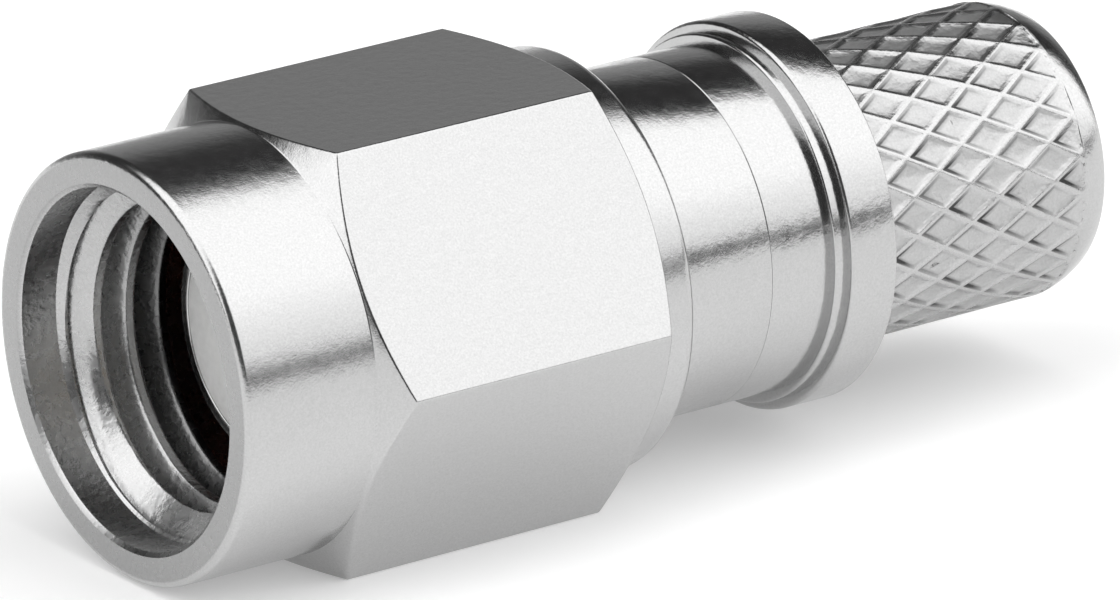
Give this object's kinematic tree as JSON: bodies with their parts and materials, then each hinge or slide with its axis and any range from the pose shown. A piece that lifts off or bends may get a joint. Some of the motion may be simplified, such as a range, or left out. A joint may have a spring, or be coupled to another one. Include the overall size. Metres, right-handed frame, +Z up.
{
  "type": "sma connector",
  "caption": "Straight coaxial crimp plug with a free-turning hexagonal coupling nut in front and a diamond-knurled spigot for the cable braid behind.",
  "frame": {"origin": "on the plug's axis at the reference plane, level with the front end of the mating sleeve and the mouth of the contact's socket", "axes": "+X along the axis from the mating end towards the cable, +Z up, square to the nut's top flat; the plug lies on the nut's bottom flat"},
  "size_m": [0.02, 0.0092, 0.008],
  "materials": {
    "nut_plating": "satin nickel plate over brass",
    "body_plating": "satin nickel plate over brass",
    "spring_bronze": "plain spring bronze",
    "gasket_rubber": "matt silicone rubber",
    "insulator_plastic": "matt white PTFE",
    "contact_gold": "gold plate"
  },
  "bodies": {
    "plug_body": {"outer_shell": "body_plating", "crimp_body": "body_plating", "insulator": "insulator_plastic", "centre_contact": "contact_gold", "gasket": "gasket_rubber", "retaining_ring": "spring_bronze"},
    "nut": {"coupling_nut": "nut_plating"}
  },
  "joints": [
    {"name": "nut_spin", "type": "hinge", "parent": "plug_body", "child": "nut", "pos_m": [0, 0, 0], "axis": [1, 0, 0], "continuous": true}
  ]
}
